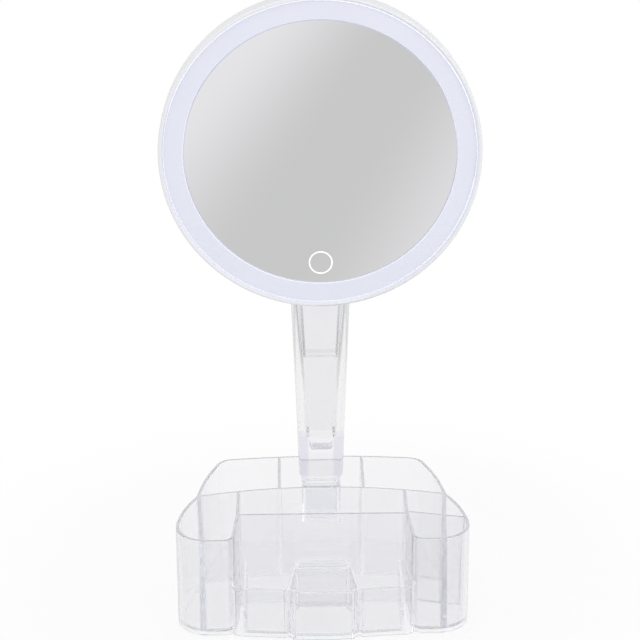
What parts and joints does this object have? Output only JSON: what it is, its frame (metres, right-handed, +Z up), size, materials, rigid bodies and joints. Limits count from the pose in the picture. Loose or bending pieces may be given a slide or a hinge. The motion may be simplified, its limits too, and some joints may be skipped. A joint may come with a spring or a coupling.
{
  "type": "cosmetic organizer with mirror",
  "caption": "Clear compartment tray for cosmetics with a lit round tilting mirror on a clear stem that lifts out of its socket.",
  "frame": {"origin": "on the surface it stands on, under the middle of the tray", "axes": "+Z up, -Y towards the front where the mirror faces, +X to the right seen from the front"},
  "size_m": [0.1972, 0.132, 0.3982],
  "materials": {
    "battery": "plain wrapped cell",
    "board": "green circuit board",
    "clear_plastic": "clear injection-moulded polystyrene, polished",
    "component": "black moulded components",
    "copper": "copper foil",
    "diffuser": "frosted milky plastic",
    "inner_white": "white moulded carrier",
    "led": "light-emitting diode packages",
    "mirror": "silvered float glass",
    "nylon": "nylon washer",
    "steel": "plated steel",
    "white_print": "white printed ring",
    "white_shell": "white ABS, gloss"
  },
  "bodies": {
    "tray": {"tray_floor": "clear_plastic", "tray_back_wall": "clear_plastic", "tray_middle_wall": "clear_plastic", "tray_front_wall": "clear_plastic", "left_pod_wall": "clear_plastic", "right_pod_wall": "clear_plastic", "front_cells_wall": "clear_plastic", "back_divider_left": "clear_plastic", "back_divider_right": "clear_plastic", "left_pod_divider": "clear_plastic", "right_pod_divider": "clear_plastic", "right_pod_cross_wall": "clear_plastic", "front_divider_left": "clear_plastic", "front_divider_right": "clear_plastic", "front_ledge": "clear_plastic", "stem_socket": "clear_plastic"},
    "stem": {"stem": "clear_plastic", "stem_foot": "clear_plastic", "stem_neck": "clear_plastic"},
    "head": {"mirror_glass": "mirror", "touch_ring": "white_print", "diffuser_ring": "diffuser", "front_bezel": "white_shell", "light_box": "inner_white", "led_board": "board", "leds": "led", "touch_sensor": "copper", "touch_spring": "steel", "control_board": "board", "board_parts": "component", "rear_housing": "white_shell", "housing_screws": "steel", "aa_cell_1": "battery", "aa_cell_2": "battery", "aa_cell_3": "battery", "aa_cell_4": "battery", "contact_springs": "steel", "contact_plates": "steel", "hinge_screw": "steel", "hinge_nut": "steel", "hinge_washers": "nylon"},
    "battery_door": {"battery_door": "white_shell"}
  },
  "joints": [
    {"name": "stem_lift", "type": "slide", "parent": "tray", "child": "stem", "axis": [0, 0, 1], "range_m": [0, 0.03]},
    {"name": "mirror_tilt", "type": "hinge", "parent": "stem", "child": "head", "pos_m": [0, 0.031, 0.222], "axis": [-1, 0, 0], "range_deg": [-12, 60]},
    {"name": "battery_door_swing", "type": "hinge", "parent": "head", "child": "battery_door", "pos_m": [0, 0.0205, 0.27195], "axis": [-1, 0, 0], "range_deg": [0, 95]}
  ]
}
